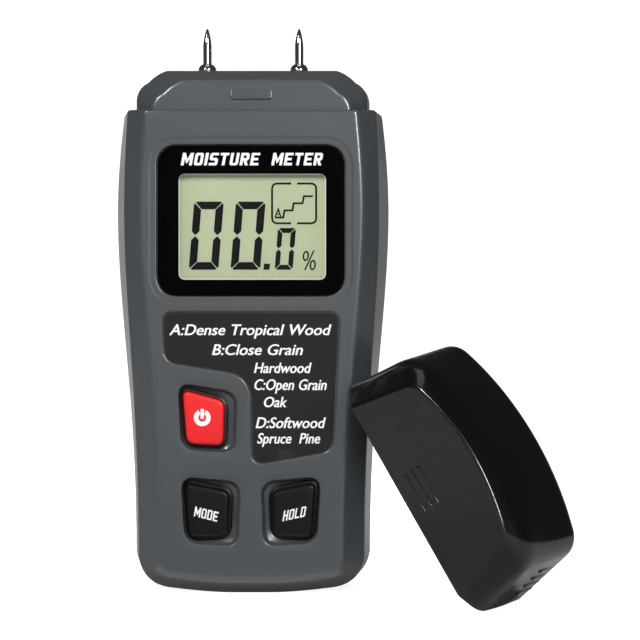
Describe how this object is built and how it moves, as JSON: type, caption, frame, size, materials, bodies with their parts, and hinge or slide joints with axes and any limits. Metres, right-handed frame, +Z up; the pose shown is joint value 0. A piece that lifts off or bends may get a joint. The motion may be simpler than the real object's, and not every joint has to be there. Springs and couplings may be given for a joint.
{
  "type": "moisture meter",
  "caption": "Handheld pin-type wood moisture meter with a display and keypad, standing on its end with its pin cap taken off and leaning on it.",
  "frame": {"origin": "centre of the flat foot on the bottom end, in the parting plane between the two shells", "axes": "+Z up along the meter's length to the pins, +X to the right as seen from the front, display and keys face -Y"},
  "size_m": [0.1053, 0.0574, 0.1335],
  "materials": {
    "case_plastic": "fine moulded grain, satin",
    "cap_plastic": "semi-gloss moulded with fine grain",
    "label_film": "printed film, satin",
    "window_plastic": "polished, back-printed border",
    "lcd_glass": "satin polariser over a reflector",
    "frame_plastic": "moulded, unpainted",
    "zebra_rubber": "soft striped elastomer",
    "board_laminate": "green solder mask",
    "chip_plastic": "moulded, dull",
    "red_key": "satin",
    "black_key": "satin, fine grain",
    "pin_nickel": "bright plated",
    "socket_brass": "turned",
    "screw_steel": "zinc plated",
    "battery_can": "wrapped can, satin",
    "red_wire": "insulated wire",
    "black_wire": "insulated wire"
  },
  "bodies": {
    "meter": {"front_shell": "case_plastic", "rear_shell": "case_plastic", "display_window": "window_plastic", "lcd_panel": "lcd_glass", "lcd_frame": "frame_plastic", "zebra_strip": "zebra_rubber", "species_label": "label_film", "circuit_board": "board_laminate", "controller_chip": "chip_plastic", "left_pin": "pin_nickel", "right_pin": "pin_nickel", "left_pin_collar": "pin_nickel", "right_pin_collar": "pin_nickel", "left_pin_socket": "socket_brass", "right_pin_socket": "socket_brass", "left_pin_lead": "red_wire", "right_pin_lead": "black_wire", "battery": "battery_can", "battery_snap": "black_wire", "battery_lead_positive": "red_wire", "battery_lead_negative": "black_wire", "power_switch": "chip_plastic", "mode_switch": "chip_plastic", "hold_switch": "chip_plastic", "case_screw_lower_left": "screw_steel", "case_screw_lower_right": "screw_steel", "case_screw_upper_left": "screw_steel", "case_screw_upper_right": "screw_steel", "board_screw_lower_left": "screw_steel", "board_screw_lower_right": "screw_steel", "board_screw_upper_left": "screw_steel", "board_screw_upper_right": "screw_steel"},
    "battery_door": {"battery_door": "case_plastic"},
    "power_button": {"power_button": "red_key", "power_plunger": "frame_plastic"},
    "mode_button": {"mode_button": "black_key", "mode_plunger": "frame_plastic"},
    "hold_button": {"hold_button": "black_key", "hold_plunger": "frame_plastic"},
    "protective_cap": {"protective_cap": "cap_plastic"}
  },
  "joints": [
    {"name": "power_button_press", "type": "slide", "parent": "meter", "child": "power_button", "axis": [0, 1, 0], "range_m": [0, 0.0005], "stiffness_N_per_m": 400, "springref_m": -0.001},
    {"name": "mode_button_press", "type": "slide", "parent": "meter", "child": "mode_button", "axis": [0, 1, 0], "range_m": [0, 0.0005], "stiffness_N_per_m": 400, "springref_m": -0.001},
    {"name": "hold_button_press", "type": "slide", "parent": "meter", "child": "hold_button", "axis": [0, 1, 0], "range_m": [0, 0.0005], "stiffness_N_per_m": 400, "springref_m": -0.001},
    {"name": "battery_door_hinge", "type": "hinge", "parent": "meter", "child": "battery_door", "pos_m": [0, 0.01255, 0.01495], "axis": [-1, 0, 0], "range_deg": [0, 95]},
    {"name": "protective_cap_lift", "type": "slide", "parent": "meter", "child": "protective_cap", "axis": [0.6668, -0.508, 0.5453], "range_m": [0, 0.03]}
  ]
}
